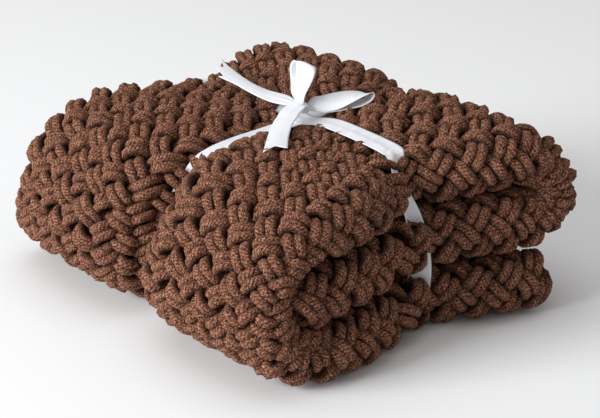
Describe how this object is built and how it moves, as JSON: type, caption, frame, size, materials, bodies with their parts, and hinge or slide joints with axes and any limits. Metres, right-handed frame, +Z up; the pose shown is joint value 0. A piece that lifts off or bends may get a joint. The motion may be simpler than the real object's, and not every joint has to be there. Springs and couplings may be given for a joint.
{
  "type": "folded hand knit blanket tied with a ribbon",
  "caption": "Chunky chenille hand knit blanket, folded in half and then in thirds into a soft bundle, tied crosswise with a satin ribbon and a bow.",
  "frame": {"origin": "on the surface that the bundle rests on, under the middle of its bounding box", "axes": "+X along the folded strip, from its wide left fold to its short end, +Y across it, from the rounded nose of the first fold to the open edges, +Z up"},
  "size_m": [0.3913, 0.4438, 0.216],
  "materials": {
    "chenille": "short dense dark brown chenille pile",
    "satin": "soft white satin"
  },
  "bodies": {
    "root": {"blanket": "chenille", "ribbon_band_x": "satin", "ribbon_band_y": "satin", "ribbon_knot": "satin", "ribbon_loop_right": "satin", "ribbon_loop_up": "satin", "ribbon_tail_back": "satin", "ribbon_tail_front": "satin"}
  },
  "joints": []
}
